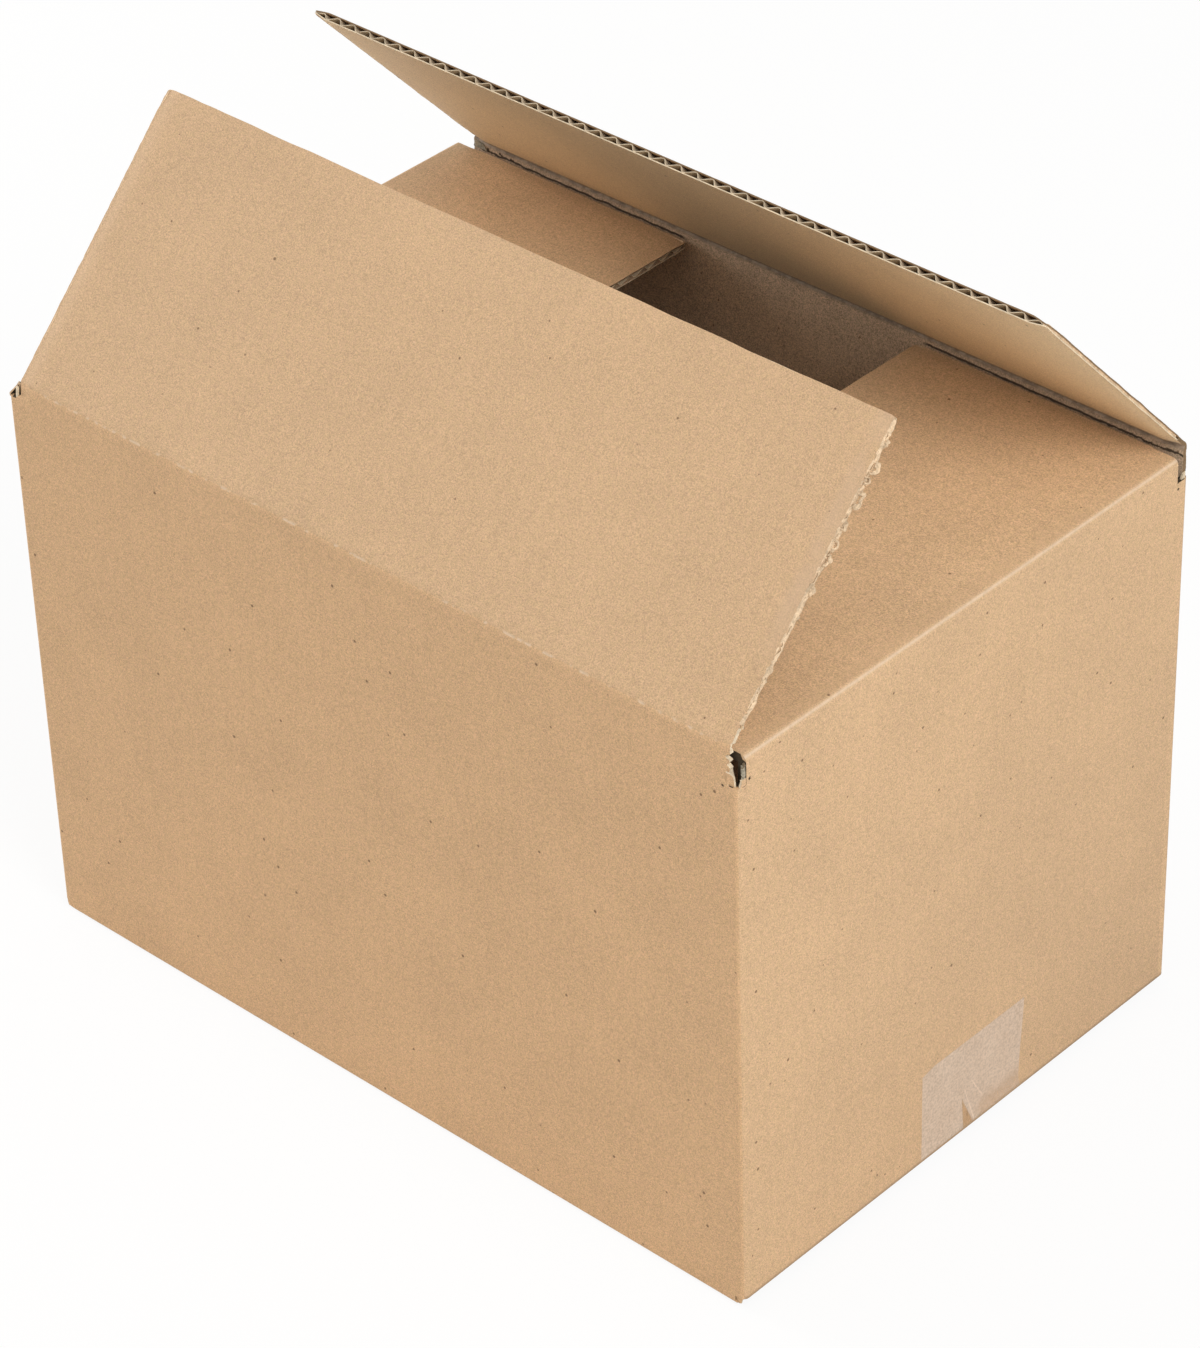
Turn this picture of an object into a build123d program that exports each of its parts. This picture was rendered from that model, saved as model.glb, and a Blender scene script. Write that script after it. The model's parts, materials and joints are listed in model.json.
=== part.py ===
"""Open slotted carton of corrugated board, with two hinged long flaps and a taped bottom seam."""
from math import asin, atan2, cos, degrees, hypot, radians, sin, tan
import os

from build123d import *

os.makedirs("parts", exist_ok=True)

# Carton, outside, in millimetres. The height is that of the long flaps' fold line.
carton_length = 292.0
carton_width = 200.0
carton_height = 202.0

# Corrugated board: two liners on a fluted medium
board = 3.0
liner = 0.35
medium = 0.3
flute_spacing = 6.35
flute_base_share = 0.72
flute_crest_share = 0.19

# Folds and scores: the board is rolled thinner along each long flap's score
fold_radius = 2.0
score_width = 5.0
score_depth = 0.6

# Flaps and the slots between them
flap_length = 99.5
front_lean_angle = 46.0
back_lean_angle = 47.0
slot_width = 7.0
bottom_overcut = 1.5
front_left_overcut = 5.0
front_right_overcut = 9.5
back_left_overcut = 7.0
back_right_overcut = 8.5

# Clearances: the hinge line to each edge of the fold, and layer on layer
fold_gap = 0.2
top_layer_gap = 0.4
bottom_layer_gap = 0.2

# Glue joint at the back left corner
tab_width = 35.0
tab_taper = 8.0
tab_end_gap = 2.0
joint_setback = 2.6

# Packing tape
tape_width = 48.0
tape_thickness = 0.1
tape_rise = 38.0
tape_shift = 4.5

# One overrun serves all cuts
overrun = 1.0

# Places that follow from the sizes
half_length = carton_length / 2
half_width = carton_width / 2
half_slot = slot_width / 2
flap_width = carton_length - slot_width
end_flap_width = carton_width - slot_width
board_bottom = tape_thickness
end_fold_top = carton_height - board - top_layer_gap
end_fold_bottom = board_bottom + board + bottom_layer_gap
end_flap_edge = half_length - flap_length
long_flap_edge = half_width - flap_length
root_depth = board - score_depth
column_bottom = end_fold_bottom + bottom_overcut
tab_root = half_width - board
tab_low = end_fold_bottom + board + tab_end_gap
tab_high = end_fold_top - board - tab_end_gap

# Flute channels: trapezoids between the medium and a liner
channel_depth = board - 2 * liner - medium
channel_base = flute_base_share * flute_spacing
channel_crest = flute_crest_share * flute_spacing
channel_angle = degrees(atan2(channel_depth, (channel_base - channel_crest) / 2))
channel_seat = board / 2 - liner


def flute_openings(edge_width):
    """Draws both rows of channel mouths on a board edge, centred on the sketch's origin."""
    count = int(edge_width / flute_spacing)
    with Locations((0, -channel_seat)):
        with GridLocations(flute_spacing, flute_spacing, count, 1):
            Trapezoid(channel_base, channel_depth, channel_angle, align=(Align.CENTER, Align.MIN))
    with Locations((0, channel_seat)):
        with GridLocations(flute_spacing, flute_spacing, count - 1, 1):
            Trapezoid(
                channel_base, channel_depth, channel_angle, rotation=180, align=(Align.CENTER, Align.MIN)
            )


def long_flap(side, lean):
    """Makes a long flap raised by the lean in degrees: side is -1 at the front and 1 at the back."""
    hinge = (0, side * half_width, carton_height)
    along = Vector(0, -side * cos(radians(lean)), sin(radians(lean)))
    outward = Vector(0, side * sin(radians(lean)), cos(radians(lean)))
    section = Plane(origin=hinge, x_dir=along, z_dir=along.cross(outward))
    edge_middle = section.from_local_coords(Vector(flap_length, -board / 2, 0))
    free_edge = Plane(origin=edge_middle, x_dir=section.z_dir, z_dir=along)
    with BuildPart() as flap:
        with BuildSketch(section):
            with BuildLine():
                Polyline(
                    (fold_gap, 0),
                    (flap_length, 0),
                    (flap_length, -board),
                    (score_width + score_depth, -board),
                    (score_width, -root_depth),
                    (fold_gap + root_depth, -root_depth),
                    close=True,
                )
            make_face()
        extrude(amount=flap_width / 2, both=True)
        with BuildSketch(free_edge):
            flute_openings(flap_width)
        extrude(amount=-(flap_length - score_width - board), mode=Mode.SUBTRACT)
    return flap


# The folded blank: walls, end flaps, bottom flaps and glue tab in one sheet
with BuildPart() as carton_body:
    # End wall with its top and bottom end flaps, one strip folded twice
    with BuildSketch(Plane.XZ):
        with BuildLine():
            Polyline(
                (end_flap_edge, end_fold_top),
                (half_length, end_fold_top),
                (half_length, end_fold_bottom),
                (end_flap_edge, end_fold_bottom),
                (end_flap_edge, end_fold_bottom + board),
                (half_length - board, end_fold_bottom + board),
                (half_length - board, end_fold_top - board),
                (end_flap_edge, end_fold_top - board),
                close=True,
            )
        strip = make_face()
        fillet(strip.vertices().group_by(Axis.X)[-1], fold_radius)
        mirror(about=Plane.YZ)
    extrude(amount=end_flap_width / 2, both=True)

    # Front wall with its bottom flap, mitred at the top where the long flap turns
    with BuildSketch(Plane.YZ):
        with BuildLine():
            Polyline(
                (half_width, carton_height - fold_gap),
                (half_width, board_bottom),
                (long_flap_edge, board_bottom),
                (long_flap_edge, board_bottom + board),
                (half_width - board, board_bottom + board),
                (half_width - board, carton_height - score_width - score_depth),
                (half_width - root_depth, carton_height - score_width),
                (half_width - root_depth, carton_height - fold_gap - root_depth),
                close=True,
            )
        wall = make_face()
        fillet(wall.vertices().group_by(Axis.X)[-1].sort_by(Axis.Y)[0], fold_radius)
        mirror(about=Plane.YZ)
    extrude(amount=flap_width / 2, both=True)

    # Folded corner columns, with the raw edge of the end wall at the glued corner
    with BuildSketch(Plane.XY.offset(column_bottom)):
        Rectangle(carton_length, carton_width)
        with Locations((-half_length, half_width)):
            Rectangle(2 * board, 2 * joint_setback, mode=Mode.SUBTRACT)
        corners = vertices()
        fillet(corners.group_by(Axis.X)[-1] + corners.group_by(Axis.Y)[0].sort_by(Axis.X)[:1], fold_radius)
        fillet(vertices().group_by(Axis.Y)[-1].sort_by(Axis.X)[0], fold_radius)
        Rectangle(carton_length - 2 * board, carton_width - 2 * board, mode=Mode.SUBTRACT)
    extrude(amount=end_fold_top - fold_radius - column_bottom)

    # Glue tab of the back wall, bonded inside the left end wall
    with BuildSketch(Plane.YZ.offset(board - half_length)):
        with BuildLine():
            Polyline(
                (tab_root, tab_low),
                (tab_root, tab_high),
                (tab_root - tab_width, tab_high - tab_taper),
                (tab_root - tab_width, tab_low + tab_taper),
                close=True,
            )
        make_face()
    extrude(amount=board)

    # Slots run past the folds by a little, differently at each corner
    overcuts = {
        (-1, -1): front_left_overcut,
        (1, -1): front_right_overcut,
        (-1, 1): back_left_overcut,
        (1, 1): back_right_overcut,
    }
    for (side_x, side_y), overcut in overcuts.items():
        with BuildSketch(Plane.XY.offset(end_fold_top - overcut)):
            with Locations((side_x * half_length, side_y * half_width)):
                Rectangle(slot_width, slot_width)
        extrude(amount=overcut + overrun, mode=Mode.SUBTRACT)

    # Flutes open at the end flaps' free edges
    for side in (-1, 1):
        for fold in (end_fold_top - board / 2, end_fold_bottom + board / 2):
            with BuildSketch(Plane((side * end_flap_edge, 0, fold), x_dir=(0, 1, 0), z_dir=(-side, 0, 0))):
                flute_openings(end_flap_width)
            extrude(amount=-(flap_length - score_width - board), mode=Mode.SUBTRACT)

    # Flutes open at the bottom long flaps' edges, where they meet over the tape
    for side in (-1, 1):
        fold = board_bottom + board / 2
        with BuildSketch(Plane((0, side * long_flap_edge, fold), x_dir=(1, 0, 0), z_dir=(0, -side, 0))):
            flute_openings(flap_width)
        extrude(amount=-(flap_length - score_width - board), mode=Mode.SUBTRACT)

carton_body.part.label = "carton_body"
export_step(carton_body.part, "parts/carton_body.step")

# Long flaps, half raised over the box
front_flap = long_flap(-1, front_lean_angle)
front_flap.part.label = "front_flap"
export_step(front_flap.part, "parts/front_flap.step")

back_flap = long_flap(1, back_lean_angle)
back_flap.part.label = "back_flap"
export_step(back_flap.part, "parts/back_flap.step")

# Tape along the bottom seam: at each end it bridges from the long flaps to the end wall's bottom fold
with BuildPart() as bottom_tape:
    bend_run = half_slot - fold_radius
    bend_rise = end_fold_bottom + fold_radius - board_bottom
    bend = degrees(atan2(bend_rise, bend_run) - asin(fold_radius / hypot(bend_run, bend_rise)))
    lift_off = half_length - half_slot
    landing = board_bottom + half_slot * tan(radians(bend))
    with BuildSketch(Plane.XZ.offset(-tape_shift)):
        with BuildLine():
            Polyline(
                (0, board_bottom),
                (lift_off, board_bottom),
                (half_length, landing),
                (half_length, tape_rise),
                (half_length + tape_thickness, tape_rise),
                (half_length + tape_thickness, landing - tape_thickness * tan(radians(90 - bend) / 2)),
                (lift_off + tape_thickness * tan(radians(bend) / 2), 0),
                (0, 0),
                close=True,
            )
        make_face()
        mirror(about=Plane.YZ)
    extrude(amount=tape_width / 2, both=True)

bottom_tape.part.label = "bottom_tape"
export_step(bottom_tape.part, "parts/bottom_tape.step")
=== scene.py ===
"""Open corrugated carton: a folded blank with fluted flaps, frayed slot edges and a taped bottom."""

import json
from math import cos, pi, radians, sin
from types import SimpleNamespace

import bmesh
import bpy
from bpy.props import FloatProperty, FloatVectorProperty, PointerProperty
from mathutils import Matrix, Quaternion, Vector, noise


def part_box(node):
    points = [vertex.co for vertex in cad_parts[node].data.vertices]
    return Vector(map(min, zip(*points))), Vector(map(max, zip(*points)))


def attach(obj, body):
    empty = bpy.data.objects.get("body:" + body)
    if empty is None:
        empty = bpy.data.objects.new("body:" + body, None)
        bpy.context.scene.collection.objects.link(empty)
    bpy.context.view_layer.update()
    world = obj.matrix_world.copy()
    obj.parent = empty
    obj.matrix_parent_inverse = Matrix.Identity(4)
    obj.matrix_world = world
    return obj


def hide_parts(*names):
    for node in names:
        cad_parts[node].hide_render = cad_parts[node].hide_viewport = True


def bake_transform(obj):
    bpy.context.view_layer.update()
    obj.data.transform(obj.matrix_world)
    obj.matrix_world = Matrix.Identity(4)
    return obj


bl_info = {
    "name": "Open Corrugated Carton",
    "version": (1, 0, 0),
    "blender": (4, 5, 0),
    "location": "View3D > Sidebar > Carton",
    "description": "Models an open slotted carton with fluted flaps and a taped bottom",
    "category": "Object",
}

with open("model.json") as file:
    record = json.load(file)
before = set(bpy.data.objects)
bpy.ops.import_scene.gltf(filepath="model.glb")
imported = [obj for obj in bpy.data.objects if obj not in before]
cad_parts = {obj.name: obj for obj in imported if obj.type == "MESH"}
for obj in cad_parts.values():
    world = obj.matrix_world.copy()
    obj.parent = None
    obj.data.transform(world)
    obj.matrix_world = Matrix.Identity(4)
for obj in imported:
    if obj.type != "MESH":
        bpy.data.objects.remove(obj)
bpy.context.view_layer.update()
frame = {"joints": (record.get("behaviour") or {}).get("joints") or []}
BODY_LOW, BODY_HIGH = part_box("carton_body")
TAPE_LOW, TAPE_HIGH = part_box("bottom_tape")
FOLDS = {joint["child"]: joint for joint in frame["joints"]}
NEAR = 1e-5


class CartonBoardSettings(bpy.types.PropertyGroup):
    """Sizes of the corrugated board, its folds and its cuts."""

    thickness: FloatProperty(
        name="Board", description="Thickness of the board", default=0.003, unit="LENGTH", precision=5)
    liner: FloatProperty(
        name="Liner", description="Thickness of each liner", default=0.00035, unit="LENGTH", precision=5)
    medium: FloatProperty(
        name="Medium", description="Thickness of the fluted paper", default=0.00028, unit="LENGTH", precision=5)
    flute_spacing: FloatProperty(
        name="Flute spacing", description="From one flute to the next",
        default=0.00635, unit="LENGTH", precision=5)
    fold_radius: FloatProperty(
        name="Fold radius", description="Outer radius of the walls' folds",
        default=0.002, unit="LENGTH", precision=5)
    crease_reach: FloatProperty(
        name="Crease reach", description="From the long flaps' fold line to where the bend ends",
        default=0.0018, unit="LENGTH", precision=5)
    crease_drop: FloatProperty(
        name="Crease drop", description="How far the crease's strip runs down the wall",
        default=0.014, unit="LENGTH", precision=5)
    stub: FloatProperty(
        name="Flap stub", description="How far a fold's solid board runs into its flap",
        default=0.006, unit="LENGTH", precision=5)
    score_depth: FloatProperty(
        name="Score depth", description="How much the board is pressed thin at a crease",
        default=0.0007, unit="LENGTH", precision=5)
    slot_width: FloatProperty(
        name="Slot width", description="Gap between neighbouring flaps", default=0.007, unit="LENGTH", precision=5)
    slot_depths: FloatVectorProperty(
        name="Slot depths", description="Slots past the end folds: front left, front right, back left, back right",
        size=4, default=(0.0026, 0.0095, 0.007, 0.0085), unit="LENGTH", precision=5)
    end_drop: FloatProperty(
        name="End flap drop", description="How far the top end flaps lie below the long flaps' fold",
        default=0.0034, unit="LENGTH", precision=5)
    bottom_step: FloatProperty(
        name="Bottom step", description="How far the bottom end flaps lie above the long ones",
        default=0.0032, unit="LENGTH", precision=5)
    corner_gap: FloatProperty(
        name="Corner gap", description="Notch under each corner above the bottom end fold",
        default=0.0004, unit="LENGTH", precision=5)
    crush: FloatProperty(
        name="Edge crush", description="How far the slot knife pressed each liner in",
        default=0.0008, unit="LENGTH", precision=5)
    crush_reach: FloatProperty(
        name="Crush reach", description="How far from a slot edge the board is pressed thin",
        default=0.006, unit="LENGTH", precision=5)
    fray: FloatProperty(
        name="Fray", description="How far torn fibres wander at the worn slot edge",
        default=0.0005, unit="LENGTH", precision=5)
    end_inset: FloatProperty(
        name="End flap inset", description="How much narrower than its fold an end flap is at each side",
        default=0.0011, unit="LENGTH", precision=5)
    end_nibble: FloatProperty(
        name="End wall nibble", description="How much wider the back slots are cut into the end walls",
        default=0.0020, unit="LENGTH", precision=5)
    overhangs: FloatVectorProperty(
        name="Overhangs", description="Long flaps past their slots: front left, front right, back left, back right",
        size=4, default=(-0.0018, 0.0, -0.0018, 0.0028), unit="LENGTH", precision=5)
    flute_lean: FloatProperty(
        name="Flute lean", description="How far each flute's crest leans to one side",
        default=0.0006, unit="LENGTH", precision=5)
    edge_nip: FloatProperty(
        name="Edge nip", description="How far each liner is pressed in at a free edge",
        default=0.00025, unit="LENGTH", precision=5)
    edge_stray: FloatProperty(
        name="Edge stray", description="How far the free edges fall short of straight",
        default=0.0003, unit="LENGTH", precision=5)
    tip_radius: FloatProperty(
        name="Tip radius", description="Rounding of the flaps' free corners",
        default=0.0013, unit="LENGTH", precision=5)
    torn_ply: FloatProperty(
        name="Torn ply", description="Thickness of torn curls and chips",
        default=0.0003, unit="LENGTH", precision=5)
    tab_width: FloatProperty(
        name="Glue tab", description="Width of the glued tab", default=0.035, unit="LENGTH", precision=5)
    tab_taper: FloatProperty(
        name="Tab taper", description="How much each end of the tab slopes",
        default=0.008, unit="LENGTH", precision=5)


class CartonTapeSettings(bpy.types.PropertyGroup):
    """Sizes of the packing tape's film."""

    film: FloatProperty(
        name="Film", description="Thickness of the film", default=0.00004, unit="LENGTH", precision=6)
    wrinkle: FloatProperty(
        name="Wrinkle", description="Height of the wrinkles where the film turns under",
        default=0.00004, unit="LENGTH", precision=6)
    turn_height: FloatProperty(
        name="Turn height", description="Height at which the film leaves an end wall to turn under",
        default=0.0045, unit="LENGTH", precision=5)
    cut_corner: FloatProperty(
        name="Cut corner", description="Width of the slanted cut at the film's front upper corner",
        default=0.0055, unit="LENGTH", precision=5)
    pull: FloatProperty(
        name="Pull", description="How far the right end's back edge leans in on its way down",
        default=0.0017, unit="LENGTH", precision=5)
    spread: FloatProperty(
        name="Spread", description="How far that edge comes out again at the foot",
        default=0.0012, unit="LENGTH", precision=5)


class CartonFinishSettings(bpy.types.PropertyGroup):
    """Colours of the papers and the film."""

    outer: FloatVectorProperty(
        name="Outer liner", description="Colour of the outside paper",
        size=3, subtype="COLOR", default=(0.600, 0.392, 0.216))
    inner: FloatVectorProperty(
        name="Inner liner", description="Colour of the inside paper",
        size=3, subtype="COLOR", default=(0.595, 0.430, 0.290))
    # Paler than the inner liner: painted light that makes up for the shade the lamps leave inside the long flaps.
    flap_lining_painted_light: FloatVectorProperty(
        name="Flap lining", description="Colour of the long flaps' inside paper",
        size=3, subtype="COLOR", default=(0.810, 0.600, 0.383))
    edge: FloatVectorProperty(
        name="Raw edge", description="Colour of torn and cut paper",
        size=3, subtype="COLOR", default=(0.760, 0.620, 0.440))
    # Dark paper in the slots: the torn paper's colour darkened as painted shade.
    torn: FloatVectorProperty(
        name="Torn ply", description="Colour of the frayed paper in the slots",
        size=3, subtype="COLOR", default=(0.200, 0.150, 0.095))
    frayed: FloatVectorProperty(
        name="Frayed edge", description="Colour of the crushed bead along the flaps' sides",
        size=3, subtype="COLOR", default=(0.700, 0.520, 0.340))
    # Loose fibres in a slot, greyed as painted shade.
    fuzz: FloatVectorProperty(
        name="Grey fuzz", description="Colour of the loose fibres in a slot",
        size=3, subtype="COLOR", default=(0.420, 0.370, 0.280))
    speck: FloatVectorProperty(
        name="Speck", description="Colour of the dark fibres",
        size=3, subtype="COLOR", default=(0.165, 0.095, 0.045))
    film: FloatVectorProperty(
        name="Film", description="Colour of the tape's milky film",
        size=3, subtype="COLOR", default=(0.745, 0.590, 0.455))
    # Painted shadow where the film stands off the board in a wedge.
    wedge_shadow: FloatVectorProperty(
        name="Bare wedge", description="Colour of the board seen where the film stands off it",
        size=3, subtype="COLOR", default=(0.450, 0.230, 0.070))


class CartonStageSettings(bpy.types.PropertyGroup):
    """Camera, lamps and floor."""

    camera_place: FloatVectorProperty(
        name="Camera", description="Where the camera stands", size=3, subtype="TRANSLATION",
        default=(0.8624, -0.9043, 0.9981))
    camera_aim: FloatVectorProperty(
        name="Aim", description="Point that the camera looks at", size=3, subtype="TRANSLATION",
        default=(0.02045, -0.0205, 0.1263))
    camera_roll: FloatProperty(
        name="Roll", description="Camera's turn about its line of sight", default=radians(-1.86), subtype="ANGLE")
    lens: FloatProperty(
        name="Lens", description="Focal length in millimetres", default=133.63)
    lamp_aim: FloatVectorProperty(
        name="Lamp aim", description="Point that the lamps face", size=3, subtype="TRANSLATION",
        default=(0.0, 0.0, 0.12))
    lamp_side: FloatProperty(
        name="Lamp side", description="Side of the square lamps", default=1.0, unit="LENGTH")
    key_place: FloatVectorProperty(
        name="Key lamp", description="Where the lamp at the right stands", size=3, subtype="TRANSLATION",
        default=(1.50, -0.44, 1.66))
    key_power: FloatProperty(
        name="Key power", description="Power of the soft lamp at the right in watts", default=27.0)
    side_place: FloatVectorProperty(
        name="Side lamp", description="Where the low lamp at the left stands", size=3, subtype="TRANSLATION",
        default=(-2.1, -0.3, 0.8))
    side_power: FloatProperty(
        name="Side power", description="Power of the low lamp at the left in watts", default=28.75)
    sky: FloatProperty(
        name="Sky", description="Strength of the even light from all round", default=0.56)
    floor_glow: FloatProperty(
        name="Floor glow", description="How white the floor looks over its shading", default=0.9)
    floor: FloatProperty(
        name="Floor", description="Side of the floor", default=12.0, unit="LENGTH")


def measures(context):
    """The places that follow from the frame and the board's settings."""
    board = context.scene.carton_board
    half_slot = board.slot_width / 2
    fold_top = FOLDS["front_flap"]["pos_m"][2]
    lean = {name: radians(-joint["range_deg"][0]) for name, joint in FOLDS.items()}
    flap_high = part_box("front_flap")[1].z
    return SimpleNamespace(
        board=board,
        half_length=BODY_HIGH.x,
        half_width=BODY_HIGH.y,
        bottom=BODY_LOW.z,
        fold_top=fold_top,
        end_top=fold_top - board.end_drop,
        end_bottom=BODY_LOW.z + board.bottom_step,
        slot_x=BODY_HIGH.x - half_slot,
        slot_y=BODY_HIGH.y - half_slot,
        lean=lean,
        overhang={"front_flap": board.overhangs[:2], "back_flap": board.overhangs[2:]},
        flap_reach=(flap_high - fold_top) / sin(lean["front_flap"]),
    )


def near(value, target):
    return abs(value - target) < NEAR


def smooth(value):
    """Soft step from 0 to 1."""
    value = min(max(value, 0.0), 1.0)
    return value * value * (3 - 2 * value)


def wander(*place):
    """Repeatable noise of a place, about from -1 to 1."""
    return noise.noise(Vector(place)) * 1.6


def start(add, **options):
    """Adds one primitive with nothing else selected, and opens it for editing."""
    if bpy.context.mode != "OBJECT":
        bpy.ops.object.mode_set(mode="OBJECT")
    bpy.ops.object.select_all(action="DESELECT")
    add(**options)
    bpy.ops.object.mode_set(mode="EDIT")
    return bpy.context.object


def pick(kind, test):
    """Selects the vertices, edges or faces whose corners all pass a test of their place."""
    bpy.ops.mesh.select_mode(type=kind)
    bpy.ops.mesh.select_all(action="DESELECT")
    mesh = bpy.context.edit_object.data
    edit = bmesh.from_edit_mesh(mesh)
    if kind == "VERT":
        chosen = [vert for vert in edit.verts if test(vert.co)]
    else:
        elements = edit.edges if kind == "EDGE" else edit.faces
        chosen = [element for element in elements if all(test(vert.co) for vert in element.verts)]
    for element in chosen:
        element.select_set(True)
    edit.select_flush_mode()
    bmesh.update_edit_mesh(mesh)


def cut(axis, place):
    """Cuts the selected faces along a plane square to one axis."""
    normal = Vector((0, 0, 0))
    normal[axis] = 1
    bpy.ops.mesh.bisect(plane_co=normal * place, plane_no=normal)


def extrude(offset):
    """Draws the selected edges out into new faces."""
    bpy.ops.mesh.extrude_edges_move(TRANSFORM_OT_translate={"value": offset})


def apply(obj, kind, **settings):
    """Gives the piece one modifier and applies it."""
    bpy.ops.object.mode_set(mode="OBJECT")
    bpy.context.view_layer.objects.active = obj
    modifier = obj.modifiers.new(kind.title(), kind)
    for key, value in settings.items():
        setattr(modifier, key, value)
    bpy.ops.object.modifier_apply(modifier=modifier.name)


def join(pieces):
    """Joins pieces into the first of them."""
    bpy.ops.object.select_all(action="DESELECT")
    for piece in pieces:
        piece.select_set(True)
    bpy.context.view_layer.objects.active = pieces[0]
    bpy.ops.object.join()
    return pieces[0]


def settle(obj, place):
    """Puts a piece at its place and leaves that place in its mesh."""
    bpy.ops.object.select_all(action="DESELECT")
    obj.select_set(True)
    bpy.context.view_layer.objects.active = obj
    obj.matrix_world = place
    bpy.ops.object.transform_apply(location=True, rotation=True, scale=True)


def dress(obj, name, materials):
    """Names a piece and gives it its papers in order."""
    obj.name = name
    obj.data.name = name
    obj.data.materials.clear()
    for material in materials:
        obj.data.materials.append(bpy.data.materials[material])


def round_off(obj, angle=radians(40)):
    """Shades a piece smooth up to an angle."""
    bpy.ops.object.mode_set(mode="OBJECT")
    bpy.ops.object.select_all(action="DESELECT")
    obj.select_set(True)
    bpy.context.view_layer.objects.active = obj
    bpy.ops.object.shade_smooth_by_angle(angle=angle)


def carry(obj, body, node):
    """Lets a piece ride on its body in place of its solid."""
    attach(obj, body)
    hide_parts(node)


class Wire:
    """A shader socket. Sums and products of sockets add Math nodes, and add() puts in any other node."""

    def __init__(self, tree, socket=None):
        self.tree = tree
        self.socket = socket

    def add(self, kind, settings=None, values=None, out=0):
        node = self.tree.nodes.new(kind)
        for key, value in (settings or {}).items():
            setattr(node, key, value)
        for key, value in (values or {}).items():
            if isinstance(value, Wire):
                self.tree.links.new(value.socket, node.inputs[key])
            else:
                node.inputs[key].default_value = value
        return Wire(self.tree, node.outputs[out])

    def also(self, out):
        """Another output of the same node."""
        return Wire(self.tree, self.socket.node.outputs[out])

    def maths(self, operation, first, second=0.0):
        return self.add("ShaderNodeMath", {"operation": operation}, {0: first, 1: second})

    def __add__(self, other):
        return self.maths("ADD", self, other)

    def __sub__(self, other):
        return self.maths("SUBTRACT", self, other)

    def __rsub__(self, other):
        return self.maths("SUBTRACT", other, self)

    def __mul__(self, other):
        return self.maths("MULTIPLY", self, other)

    def __truediv__(self, other):
        return self.maths("DIVIDE", self, other)

    def __abs__(self):
        return self.maths("ABSOLUTE", self)

    __radd__ = __add__
    __rmul__ = __mul__

    def sine(self):
        return self.maths("SINE", self)

    def most(self, other):
        return self.maths("MAXIMUM", self, other)

    def step(self, low, high):
        """0 below low, 1 above high, soft between."""
        return self.add(
            "ShaderNodeMapRange", {"interpolation_type": "SMOOTHSTEP", "clamp": True},
            {"Value": self, "From Min": low, "From Max": high})

    def mix(self, first, second):
        """Colour mixed from two by this factor."""
        return self.add(
            "ShaderNodeMix", {"data_type": "RGBA"}, {"Factor": self, "A": first, "B": second}, out=2)


def colour(rgb):
    return (*rgb, 1.0)


def shade(rgb, factor):
    """A colour made lighter, up to white, or darker."""
    return (*(min(channel * factor, 1.0) for channel in rgb), 1.0)


def new_material(name):
    """A material with a shader of its own, and a wire to start from."""
    material = bpy.data.materials.new(name)
    material.use_nodes = True
    tree = material.node_tree
    tree.nodes.clear()
    output = tree.nodes.new("ShaderNodeOutputMaterial")
    shader = tree.nodes.new("ShaderNodeBsdfPrincipled")
    tree.links.new(shader.outputs[0], output.inputs["Surface"])
    return material, shader, Wire(tree)


def link(wire, shader, socket):
    wire.tree.links.new(wire.socket, shader.inputs[socket])


def object_place(wire):
    """The place on a piece and its three coordinates."""
    place = wire.add("ShaderNodeTexCoord", out="Object")
    x = wire.add("ShaderNodeSeparateXYZ", None, {0: place})
    return place, x, x.also(1), x.also(2)


def clouds(wire, place, scale, detail=4.0, roughness=0.55):
    """Soft noise of a scale per metre."""
    return wire.add(
        "ShaderNodeTexNoise", None,
        {"Vector": place, "Scale": scale, "Detail": detail, "Roughness": roughness})


def flecks(wire, place, scale, size, share):
    """Small spots in some of the cells of a scale per metre: size is in cells, share is how many have one."""
    near_point = wire.add("ShaderNodeTexVoronoi", None, {"Vector": place, "Scale": scale}, out="Distance")
    lot = wire.add("ShaderNodeSeparateColor", None, {0: near_point.also("Color")})
    chosen = lot.step(1 - share, 1 - share + 0.02)
    spread = lot.also(1) * (0.75 * size) + 0.4 * size
    return (1 - (near_point / spread).step(0.55, 1.0)) * chosen


# Scales of the papers' noise per metre. None puts a wall's plane on the noise's own grid, where it would be flat.
FORMATION, GRAIN, FIBRES, TINT = 613.0, 2203.0, 4427.0, 783.0
PIT_RADIUS = 0.0009


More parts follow.
